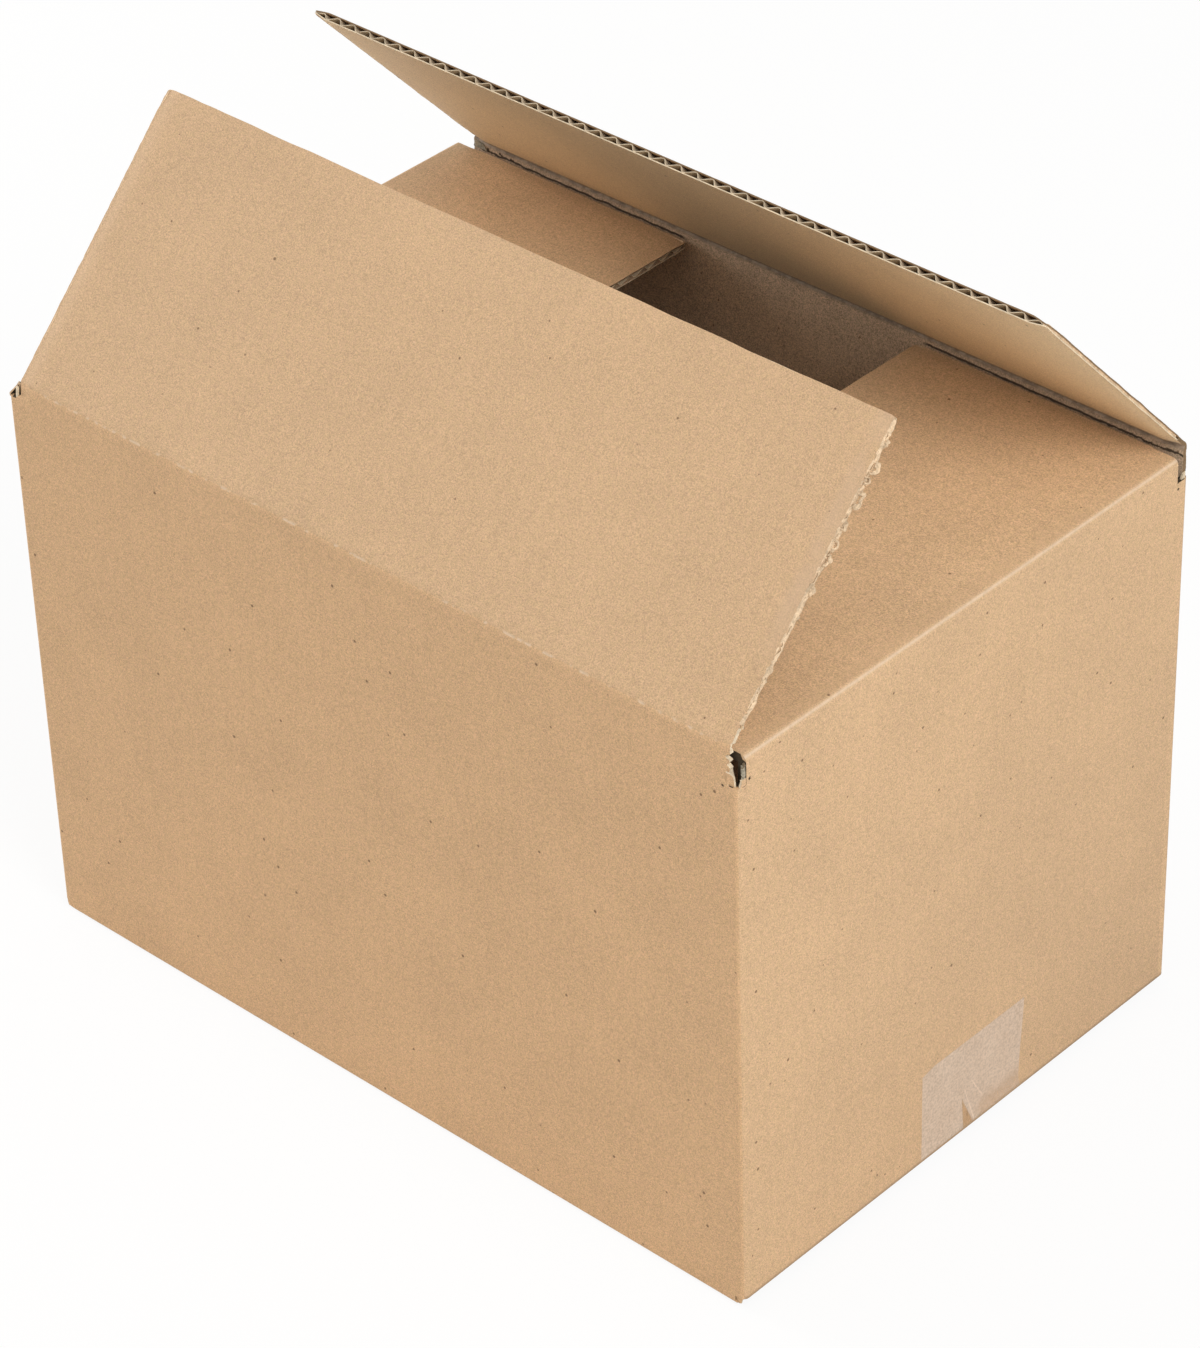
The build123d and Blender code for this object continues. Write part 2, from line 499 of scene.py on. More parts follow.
def kraft(name, base, speck, across, spacing, fold=None, rub=None, pits=(), gap=None, turned_shade=None, contrast=1.0):
    """Kraft liner: fine fibres, small dark and pale flecks, and faint lines over the flutes that cross one axis.

    A fold is a strip along a fold in another colour: worn paper, with a painted highlight on the end walls' round
    folds and painted shade in the long flaps' inner score. It gives its reach, its place on the other axis, its
    height, its colour, how much of that colour shows, how broken it is and how mottled. A rub is a paler strip
    beside a flap's worn side: the side's place and the height above which it shows. Pits are painted dark spots
    for small holes in the paper: painted shade, as no hole is cut. A gap is the painted shadow line in the gap
    behind the end flaps: its height, its half width and where it starts from the middle. The turned_shade gives
    the back corner's place and the foot's height, where the paper turns away: painted shade there.
    """
    material, shader, wire = new_material(name)
    place, x, y, z = object_place(wire)

    formation = clouds(wire, place, FORMATION, 3.0, 0.6)
    blotches = clouds(wire, place, 36.0, 2.0)
    grain = clouds(wire, place, GRAIN, 2.0, 0.6)
    fibres = clouds(wire, place, FIBRES, 1.0)
    washboard = ((x, y)[across] * (2 * pi / spacing)).sine() * clouds(wire, place, 18.0, 2.0)

    tone = formation * 0.09 + blotches * 0.07 + grain * 0.45 + fibres * 0.39 + washboard * 0.006
    body = tone.step(0.30, 0.70).mix(shade(base, 1 - 0.34 * contrast), shade(base, 1 + 0.32 * contrast))
    pink = clouds(wire, place, TINT, 2.0).step(0.36, 0.64)
    tint = pink.mix((0.993, 1.005, 0.98, 1), (1.007, 0.995, 1.015, 1))
    body = wire.add(
        "ShaderNodeMix", {"data_type": "RGBA", "blend_type": "MULTIPLY"},
        {"Factor": 1.0, "A": body, "B": tint}, out=2)
    pale = flecks(wire, place, 230.0, 0.09, 0.25) * 0.5
    body = pale.mix(body, colour((base[0] * 1.28, base[1] * 1.36, base[2] * 1.5)))
    dark = flecks(wire, place, 150.0, 0.085, 0.60) * 0.85
    body = dark.mix(body, colour(speck))
    large = flecks(wire, place, 52.0, 0.034, 0.32) * 0.9
    body = large.mix(body, colour(speck))
    # A fold's strip: worn paper, also a painted highlight on the end folds and painted shade in the inner score.
    if fold:
        reach, fold_place, fold_height, wear_and_painted_light_colour, amount, broken, mottle = fold
        past = (fold_place - abs((x, y)[1 - across])).most(abs(z - fold_height))
        whole = clouds(wire, place, 330.0, 2.0).step(broken, broken + 0.12)
        worn = (1 - past.step(0.3 * reach, reach)) * whole
        mottled = clouds(wire, place, 420.0, 3.0).step(0.36, 0.64).mix(
            shade(wear_and_painted_light_colour, 1 - mottle), shade(wear_and_painted_light_colour, 1 + 0.3 * mottle))
        body = (worn * amount).mix(body, mottled)
    if rub:
        side, above = rub
        beside = (x - side).step(-0.0075, -0.003) * (z - above).step(0.012, 0.03)
        rubbed = beside * clouds(wire, place, 70.0).step(0.3, 0.6)
        body = (rubbed * 0.45).mix(body, colour((base[0] * 1.04, base[1] * 1.10, base[2] * 1.28)))
    # Pits: painted shade, dark spots standing for small holes.
    for pit in pits:
        away = wire.add("ShaderNodeVectorMath", {"operation": "DISTANCE"}, {0: place, 1: pit}, out="Value")
        ragged = away + clouds(wire, place, 1200.0) * (PIT_RADIUS / 1.5)
        body = ragged.step(PIT_RADIUS, PIT_RADIUS / 1.5).mix(body, shade(speck, 0.4))
    # Painted shadow: a dark line on the wall's inner face in the gap behind the end flaps.
    if gap:
        height, half, begin = gap
        outer_end = abs(x).step(begin + 0.060, begin + 0.085)
        torn = (clouds(wire, place, 430.0, 3.0, 0.7) - 0.5) * (3.6 * half) * outer_end
        off_line = abs(z - height + (clouds(wire, place, 240.0) - 0.5) * (2.4 * half) + torn)
        thin_line_mark = off_line.step(half, 0.4 * half) * abs(x).step(begin, begin + 0.004)
        body = (thin_line_mark * 0.9).mix(body, shade(speck, 0.15))
    # Painted shade where the paper turns away at the back corner and at the foot.
    if turned_shade:
        back, foot = turned_shade
        away = y.step(back - 0.0014, back - 0.0006).most(z.step(foot + 0.0020, foot + 0.0004))
        body = (away * 0.7).mix(body, shade(base, 0.4))
    link(body, shader, "Base Color")

    rough = formation * 0.12 + 0.62
    link(rough, shader, "Roughness")
    shader.inputs["Specular IOR Level"].default_value = 0.35
    height = formation * 0.2 + grain * 0.5 + washboard * 0.05 + blotches * 0.3
    relief = wire.add(
        "ShaderNodeBump", None, {"Strength": 0.12, "Distance": 0.0003, "Height": height})
    link(relief, shader, "Normal")
    return material


def raw_edge(name, base, low=0.70, high=1.12):
    """Cut and torn paper: pale fibres with darker hollows between them."""
    material, shader, wire = new_material(name)
    place = wire.add("ShaderNodeTexCoord", out="Object")
    fibres = clouds(wire, place, 1400.0, 4.0, 0.7)
    tufts = clouds(wire, place, 320.0, 3.0)
    tone = fibres * 0.55 + tufts * 0.45
    body = tone.step(0.32, 0.68).mix(shade(base, low), shade(base, high))
    link(body, shader, "Base Color")
    shader.inputs["Roughness"].default_value = 0.95
    shader.inputs["Specular IOR Level"].default_value = 0.15
    relief = wire.add("ShaderNodeBump", None, {"Strength": 0.5, "Distance": 0.0003, "Height": tone})
    link(relief, shader, "Normal")
    return material


# Creases in the film on the right end wall: where each starts across and up, where it ends, and how it slants
FILM_CREASES = ((-0.0003, 0.0220, 0.0040, 0.335), (0.0028, 0.0230, 0.0110, 0.58))
# The wedge where the film stands off the board, painted in shadow: its line's foot and slant, its top and how it
# widens downwards
WEDGE_FOOT, WEDGE_SLANT, WEDGE_TOP, WEDGE_SPREAD = 0.0037, 0.261, 0.0160, 0.19
# The corner where the film came loose: below one height and behind one line, each with its soft edge
LOOSE_HEIGHTS, LOOSE_LINES = (0.0165, 0.0105), (0.0080, 0.0135)
# Heights between which the film darkens as it turns under: painted shade at the foot
FOOT_SHADE_HEIGHTS = (0.0050, 0.0032)


def milky_film(name, base, shadow, middle, half):
    """Packing tape: a milky, finely stippled film, clearer where it came loose from the board near the bottom."""
    material, shader, wire = new_material(name)
    place, _, y, z = object_place(wire)
    stipple = clouds(wire, place, 1300.0, 2.0, 0.65)
    patches = clouds(wire, place, 90.0, 2.0)
    dashes = wire.add(
        "ShaderNodeTexNoise", None,
        {"Vector": wire.add("ShaderNodeMapping", None, {"Vector": place, "Scale": (1.0, 0.7, 1.2)}),
         "Scale": 900.0, "Detail": 1.0})
    tone = stipple * 0.7 + dashes * 0.3
    rim = abs(y - middle).step(half - 0.0007, half - 0.0002)
    body = tone.step(0.34, 0.66).mix(shade(base, 0.90), shade(base, 1.07))
    body = (rim * 0.3).mix(body, shade(base, 1.15))
    creases = []
    for start_y, start_z, end_z, slant in FILM_CREASES:
        off_line = abs(y - start_y - (start_z - z) * slant) + clouds(wire, place, 700.0) * 0.0002
        ends = z.step(end_z, end_z + 0.002) * z.step(start_z, start_z - 0.004)
        creases.append(off_line.step(0.00055, 0.0002) * ends)
    ridges = creases[0].most(creases[1])
    body = (ridges * 0.75).mix(body, shade(base, 1.13))
    # Painted shade at the film's foot.
    body = (z.step(*FOOT_SHADE_HEIGHTS) * 0.8).mix(body, shade(base, 0.45))
    stray = clouds(wire, place, 160.0, 3.0) * 0.005
    loose = (z + stray).step(*LOOSE_HEIGHTS) * (y + stray).step(*LOOSE_LINES)
    off_line = abs(y + z * WEDGE_SLANT - WEDGE_FOOT) - (WEDGE_TOP - z) * WEDGE_SPREAD
    wedge = (off_line + clouds(wire, place, 500.0) * 0.0004).step(0.0005, -0.0001)
    # Painted shadow in the wedge.
    body = (wedge * 0.85).mix(body, colour(shadow))
    link(body, shader, "Base Color")
    cover = tone.step(0.34, 0.62) * 0.14 + patches.step(0.3, 0.65) * 0.06 + 0.53
    cover = cover * (1 - loose * 0.42) * (1 - wedge * 0.7) + ridges * 0.12
    link(cover, shader, "Alpha")
    shader.inputs["Roughness"].default_value = 0.40
    shader.inputs["Specular IOR Level"].default_value = 0.4
    relief = wire.add("ShaderNodeBump", None, {"Strength": 0.15, "Distance": 0.00008, "Height": tone})
    link(relief, shader, "Normal")
    return material


class CARTON_OT_papers(bpy.types.Operator):
    """Mix the papers and the film that the pieces are made of"""

    bl_idname = "carton.papers"
    bl_label = "Mix Papers"

    def execute(self, context):
        size = measures(context)
        finish = context.scene.carton_finish
        spacing = size.board.flute_spacing
        radius = size.board.fold_radius
        # Rubbed: worn paper on the front fold, and on the end walls' round folds also a painted highlight.
        rubbed = [channel * lift for channel, lift in zip(finish.outer, (1.20, 1.41, 1.80))]
        # Soiled and shaded: a crushed score, darkened further by painted shade inside the long flaps' creases.
        soiled_and_shaded = [channel * drop for channel, drop in zip(finish.inner, (0.56, 0.60, 0.66))]
        # Lit and shaded copies of the outer liner: a paler, cooler one as painted sheen on the ends and end flaps,
        # a warmer one for the light on the long walls, and a darker one as painted shade on the long flaps.
        outer_painted_sheen = [channel * lift for channel, lift in zip(finish.outer, (1.0, 1.02, 1.06))]
        outer_painted_light = [channel * lift for channel, lift in zip(finish.outer, (1.03, 1.005, 0.99))]
        shaded = [channel * drop for channel, drop in zip(finish.outer, (0.94, 0.945, 0.97))]
        # The front fold's thin pale line is worn paper. The end fold's ridge is partly a painted highlight, and the
        # press band in the inner score is partly painted shade.
        thin_line_mark = (0.35 * radius, size.half_width, size.fold_top, rubbed, 0.75, 0.50, 0.1)
        ridge = (0.65 * radius, size.half_length, size.end_top, rubbed, 0.9, 0.2, 0.1)
        inner_face = size.half_width - size.board.thickness
        press = (1.1 * radius, inner_face, size.fold_top - 0.5 * radius, soiled_and_shaded, 0.85, 0.05, 0.45)
        # The painted shadow line in the gap behind the end flaps.
        gap = (size.end_top - 0.0006, 0.0006, size.half_length - size.flap_reach)
        rub = (size.slot_x, size.fold_top)
        kraft("kraft_long", outer_painted_light, finish.speck, 0, spacing, thin_line_mark, pits=FRONT_PITS)
        kraft("kraft_flap", shaded, finish.speck, 0, spacing, thin_line_mark, rub)
        kraft("kraft_end", outer_painted_sheen, finish.speck, 1, spacing, ridge, pits=END_PITS,
              turned_shade=(size.half_width, size.end_bottom))
        kraft("inner_long", finish.inner, finish.speck, 0, spacing, press, pits=BACK_PITS, gap=gap, contrast=1.8)
        # The long flaps' lining: painted light, paler than the walls' lining.
        kraft("inner_flap", finish.flap_lining_painted_light, finish.speck, 0, spacing, press)
        kraft("inner_end", finish.inner, finish.speck, 1, spacing, contrast=1.6)
        kraft("kraft_shelf", outer_painted_sheen, finish.speck, 1, spacing, contrast=1.3)
        raw_edge("raw_edge", finish.edge)
        raw_edge("fluting", shade(finish.edge, 0.8)[:3])
        # Paler flutes for the end flaps: painted light on edges that the back flap shades.
        raw_edge("pale_fluting", shade(finish.edge, 1.15)[:3], 0.85, 1.1)
        raw_edge("frayed", finish.frayed, 0.62, 1.28)
        # Dark rims: painted shade on the outer liners' cut edges and on the back crease's rim.
        raw_edge("shaded_rim", shade(finish.outer, 0.4)[:3])
        # torn_ply and dark_ply are dark papers that paint the shade in the slots, under the bottom folds and on the
        # walls' cut rims.
        raw_edge("torn_ply", finish.torn)
        raw_edge("dark_ply", shade(finish.torn, 0.35)[:3])
        # Grey fuzz: loose fibres, partly painted shade.
        raw_edge("grey_fuzz", finish.fuzz, 0.35, 1.45)
        tape_half = (TAPE_HIGH.y - TAPE_LOW.y) / 2
        milky_film("milky_film", finish.film, finish.wedge_shadow, TAPE_LOW.y + tape_half, tape_half)
        return {"FINISHED"}


LONG_PAPERS = ["kraft_long", "raw_edge", "inner_long"]
FLAP_PAPERS = ["kraft_flap", "raw_edge", "inner_flap"]
END_PAPERS = ["kraft_end", "raw_edge", "inner_end"]
SHELF_PAPERS = ["kraft_shelf", "raw_edge", "inner_end"]
# A fluted flap's papers, in their order on the piece
OUTSIDE, CUT_RIM, INSIDE, CORE, SIDE, SHADED_RIM = range(6)

# Tears and curls of the front flap's right edge: distance from its free corner, half length and height
TEARS = (
    (0.0048, 0.0008, 0.0007), (0.0084, 0.0010, 0.0008), (0.0190, 0.0008, 0.0009), (0.0210, 0.0010, 0.0006),
    (0.0320, 0.0009, 0.0008), (0.0350, 0.0016, 0.0004), (0.0510, 0.0012, 0.0006), (0.0760, 0.0014, 0.0005),
    (0.0860, 0.0024, 0.0005),
)
CURLS = (
    (0.0076, 0.0008, 0.0010), (0.0151, 0.0015, 0.0019), (0.0190, 0.0009, 0.0011), (0.0248, 0.0021, 0.0017),
    (0.0325, 0.0012, 0.0012), (0.0383, 0.0014, 0.0014), (0.0426, 0.0014, 0.0014), (0.0520, 0.0012, 0.0011),
)
# Notches of the front right slot: distance above the fold line, half length and depth
NOTCHES = ((-0.0040, 0.0010, 0.0014), (-0.0067, 0.0008, 0.0010))
# Painted dark spots beside the slots, standing for small holes: painted shade, as no hole is cut
FRONT_PITS = ((0.1408, -0.1, 0.1940), (0.1405, -0.1, 0.1884), (-0.1409, -0.1, 0.2003))
END_PITS = ((0.146, 0.0951, 0.1880),)
BACK_PITS = (
    (-0.1372, 0.097, 0.1996), (-0.1337, 0.097, 0.1990), (-0.1284, 0.097, 0.1990), (-0.1276, 0.097, 0.1986),
    (-0.1235, 0.097, 0.1987), (-0.1226, 0.097, 0.1984),
)


def corner_faces(size, side_x, side_y, low, high):
    """A test for the folded column at one corner, between two heights."""
    def inside(place):
        return (
            place.x * side_x > size.slot_x - NEAR
            and place.y * side_y > size.slot_y - NEAR
            and low - NEAR < place.z < high + NEAR
        )
    return inside


def wall_ring(size):
    """The four walls with the roots of their flaps, folded from one sheet of solid board."""
    board = size.board
    height = size.fold_top - size.bottom
    ring = start(bpy.ops.mesh.primitive_cube_add, size=1, location=(0, 0, 0))
    bpy.ops.transform.resize(value=(2 * size.half_length, 2 * size.half_width, height))
    bpy.ops.transform.translate(value=(0, 0, size.bottom + height / 2))
    pick("FACE", lambda place: near(place.z, size.fold_top))
    bpy.ops.mesh.delete(type="FACE")
    pick("FACE", lambda place: near(place.z, size.bottom))
    bpy.ops.mesh.delete(type="FACE")

    for axis, place in ((0, size.slot_x), (0, -size.slot_x), (1, size.slot_y), (1, -size.slot_y)):
        bpy.ops.mesh.select_all(action="SELECT")
        cut(axis, place)
    column_low = size.end_bottom + board.corner_gap
    corners = ((-1, -1), (1, -1), (-1, 1), (1, 1))
    for (side_x, side_y), depth in zip(corners, board.slot_depths):
        column_high = size.end_top - depth
        glued = (side_x, side_y) == (-1, 1)
        for level in (column_low, column_high):
            pick("FACE", corner_faces(size, side_x, side_y, size.bottom, size.fold_top))
            cut(2, level)
        pick("FACE", corner_faces(size, side_x, side_y, column_high, size.fold_top))
        bpy.ops.mesh.delete(type="FACE")
        pick("FACE", corner_faces(size, side_x, side_y, size.bottom, column_high if glued else column_low))
        bpy.ops.mesh.delete(type="FACE")

    crease_low = size.fold_top - board.crease_drop

    def long_wall(place):
        return near(abs(place.y), size.half_width) and abs(place.x) < size.slot_x + NEAR

    pick("FACE", long_wall)
    cut(2, crease_low)
    pick("FACE", lambda place: long_wall(place) and place.z > crease_low - NEAR)
    bpy.ops.mesh.delete(type="FACE")

    def end_wall(place):
        return near(abs(place.x), size.half_length) and abs(place.y) < size.slot_y + NEAR

    pick("VERT", lambda place: end_wall(place) and near(place.z, size.fold_top))
    bpy.ops.transform.translate(value=(0, 0, size.end_top - size.fold_top))
    pick("VERT", lambda place: end_wall(place) and near(place.z, size.bottom))
    bpy.ops.transform.translate(value=(0, 0, size.end_bottom - size.bottom))
    for side in (-1, 1):
        for level in (size.end_top, size.end_bottom):
            pick("EDGE", lambda place: end_wall(place) and place.x * side > 0 and near(place.z, level))
            extrude((-side * board.stub, 0, 0))
        pick("EDGE", lambda place: long_wall(place) and place.y * side > 0 and near(place.z, size.bottom))
        extrude((0, -side * board.stub, 0))
    for side, depth in zip((-1, 1), board.slot_depths[2:]):
        pick("VERT", lambda place: near(place.y, size.slot_y) and place.z > size.end_top - depth - NEAR
             and place.x * side > size.half_length - board.stub - NEAR)
        bpy.ops.transform.translate(value=(0, -board.end_nibble, 0))
    bpy.ops.mesh.select_all(action="SELECT")
    bpy.ops.mesh.normals_make_consistent(inside=False)
    bpy.ops.object.mode_set(mode="OBJECT")
    # The walls' cut rims take the dark ply: painted shade in the slots and along the cut edges.
    dress(ring, "carton_walls", [
        "kraft_long", "dark_ply", "inner_long", "kraft_end", "dark_ply", "inner_end", "fluting"])
    for face in ring.data.polygons:
        end = abs(face.normal.x) > 0.5 or abs(face.center.y) < size.slot_y - NEAR and not (
            near(face.center.z, size.bottom))
        face.material_index = len(LONG_PAPERS) if end else 0
    apply(ring, "SOLIDIFY", thickness=board.thickness, offset=-1, use_even_offset=True,
          material_offset=2, material_offset_rim=1)
    glued_top = size.end_top - board.slot_depths[2]
    for face in ring.data.polygons:
        place = face.center
        if place.x < 0 and place.z < glued_top and near(place.y, size.slot_y) and face.normal.y > 0.9:
            face.material_index = 2 * len(LONG_PAPERS)

    bpy.ops.object.mode_set(mode="EDIT")
    pick("EDGE", lambda place: near(abs(place.x), size.half_length) and near(abs(place.y), size.half_width))
    round_edges(board.fold_radius)
    pick("EDGE", lambda place: near(abs(place.x), size.half_length) and (
        near(place.z, size.end_top) or near(place.z, size.end_bottom)))
    round_edges(board.fold_radius)
    pick("EDGE", lambda place: near(abs(place.y), size.half_width) and near(place.z, size.bottom))
    round_edges(board.fold_radius)
    round_off(ring)
    apply(ring, "WEIGHTED_NORMAL", weight=100, keep_sharp=True)
    carry(ring, "carton", "carton_body")


def round_edges(radius, steps=6):
    """Rounds the selected folds."""
    bpy.ops.mesh.bevel(offset=radius, offset_type="OFFSET", segments=steps, affect="EDGES", clamp_overlap=False)


def glue_tab(size):
    """The back wall's tab, glued inside the left end wall at the corner with a raw edge."""
    board = size.board
    low = size.end_bottom + board.corner_gap
    high = size.end_top - board.slot_depths[2]
    face_x = -size.half_length + board.thickness
    tab = start(bpy.ops.mesh.primitive_plane_add, size=1, location=(0, 0, 0))
    bpy.ops.transform.resize(value=(size.slot_x + face_x, high - low, 1))
    bpy.ops.transform.translate(value=((face_x - size.slot_x) / 2, (high + low) / 2, 0))
    mesh = tab.data
    bpy.ops.object.mode_set(mode="OBJECT")
    for vert in mesh.vertices:
        vert.co = (vert.co.x, size.half_width, vert.co.y)
    bpy.ops.object.mode_set(mode="EDIT")
    pick("EDGE", lambda place: near(place.x, face_x))
    extrude((0, -board.thickness, 0))
    extrude((0, -board.tab_width, 0))
    end_y = size.half_width - board.thickness - board.tab_width
    for level, slope in ((low, board.tab_taper), (high, -board.tab_taper)):
        pick("VERT", lambda place: near(place.y, end_y) and near(place.z, level))
        bpy.ops.transform.translate(value=(0, 0, slope))
    bpy.ops.mesh.select_all(action="SELECT")
    bpy.ops.mesh.normals_make_consistent(inside=False)
    bpy.ops.object.mode_set(mode="OBJECT")
    if mesh.polygons[0].normal.y < 0:
        mesh.flip_normals()
    dress(tab, "glue_tab", LONG_PAPERS)
    apply(tab, "SOLIDIFY", thickness=board.thickness, offset=-1, use_even_offset=True,
          material_offset=2, material_offset_rim=1)
    bpy.ops.object.mode_set(mode="EDIT")
    pick("EDGE", lambda place: near(place.x, face_x) and near(place.y, size.half_width))
    round_edges(board.fold_radius)
    round_off(tab)
    apply(tab, "WEIGHTED_NORMAL", weight=100, keep_sharp=True)
    carry(tab, "carton", "carton_body")


class CARTON_OT_walls(bpy.types.Operator):
    """Fold the four walls and glue their tab"""

    bl_idname = "carton.walls"
    bl_label = "Fold Walls"

    def execute(self, context):
        size = measures(context)
        wall_ring(size)
        glue_tab(size)
        return {"FINISHED"}


def sheet(columns, rows, width, low, high, grade=1.0):
    """A flat grid, centred across its width, whose columns crowd towards its sides by the grade."""
    grid = start(
        bpy.ops.mesh.primitive_grid_add, x_subdivisions=columns, y_subdivisions=rows, size=1, location=(0, 0, 0))
    bpy.ops.transform.resize(value=(width, high - low, 1))
    bpy.ops.transform.translate(value=(0, (low + high) / 2, 0))
    bpy.ops.object.mode_set(mode="OBJECT")
    half = width / 2
    for vert in grid.data.vertices:
        share = min(abs(vert.co.x) / half, 1.0)
        side = 1 if vert.co.x > 0 else -1
        vert.co.x = side * half * (1 - (1 - share) ** grade)
    return grid


def edge_wear(board, half, across, along, seed, wear=0.2, pressed=1.0):
    """How far a slot edge is pressed in and how far its fibres wander, at a place on a flap."""
    inset = half - abs(across)
    uneven = 1 + 0.15 * wander(along * 130, seed, 3.1)
    press = pressed * board.crush * (1 - smooth(inset / board.crush_reach)) * uneven
    loose = max(0.0, 1 - inset / (3 * board.fray))
    stray = wear * board.fray * loose * (
        wander(along * 420, seed, across * 20) + 0.6 * wander(along * 1300, seed + 5, across * 20))
    return press, stray


def grip(board, along, rooted):
    """How hard the slot knife pressed a flap at a place along it: not at the root if its fold wasn't pressed."""
    return 1.0 if rooted else smooth((along - board.stub) / board.crush_reach)


def torn_bead(board, half, side, reach, wear, pressed, rooted, tears, seed):
    """The ragged bead of crushed paper that closes one slot edge of a flap."""
    bead = sheet(12, 300, 1, board.stub, reach)
    deep = board.thickness / 2
    for vert in bead.data.vertices:
        turn, v = 2 * pi * vert.co.x, vert.co.y
        ends = smooth((reach - v) / board.tip_radius) * smooth((v - board.stub) / board.tip_radius)
        swell = sum(height * max(0.0, 1 - ((reach - v - spot) / length) ** 2) for spot, length, height in tears)
        ragged = wear * (0.4 + 0.5 * wander(v * 350, seed, 1.7) + 0.5 * abs(wander(v * 1100, seed, cos(turn))))
        wide = board.fray * (0.55 + ragged) + swell * (0.8 + 0.3 * wander(v * 1500, seed, sin(turn)))
        press = 0.9 * pressed * grip(board, v, rooted) * board.crush
        tall = deep - press + 0.4 * wear * board.fray * wander(v * 500, seed, 2 * sin(turn))
        core = half - (1.3 - 0.7 * wear) * board.fray - (1 - ends) * board.tip_radius * 0.7
        u = core + max(wide, 0.0) * cos(turn) * (0.35 + 0.65 * ends)
        w = tall * sin(turn) * (0.5 + 0.5 * ends)
        vert.co = (side * u, min(v, reach - 0.5 * board.fray), min(max(w, -deep), deep) - deep)
    return closed(bead)


def torn_curl(board, half, side, reach, spot, length, bulge, seed):
    """A ribbon of torn liner that curls out from a slot edge and back."""
    ribbon = sheet(28, 6, 1, -0.5, 0.5)
    deep = board.thickness / 2
    for vert in ribbon.data.vertices:
        turn, across = pi * (0.5 + 1.32 * vert.co.x), vert.co.y
        uneven = 1 + 0.35 * wander(turn * 1.1, seed, across * 1.5)
        u = half + bulge * (0.3 + 0.7 * sin(turn)) * uneven
        v = reach - spot + length * cos(turn) * uneven
        w = across * (0.8 * deep) * (1 + 0.4 * wander(turn * 1.3, seed, 8.0))
        w += 0.25 * deep * wander(turn, seed, 4.0)
        vert.co = (side * u, v, min(max(w, board.torn_ply - deep), deep - board.torn_ply) - deep)
    apply(ribbon, "SOLIDIFY", thickness=1.6 * board.torn_ply, offset=0)
    return ribbon


def closed(tube):
    """Welds a rolled-up sheet along its seam."""
    bpy.ops.object.mode_set(mode="EDIT")
    bpy.ops.mesh.select_all(action="SELECT")
    bpy.ops.mesh.remove_doubles(threshold=NEAR)
    bpy.ops.mesh.normals_make_consistent(inside=False)
    bpy.ops.object.mode_set(mode="OBJECT")
    return tube


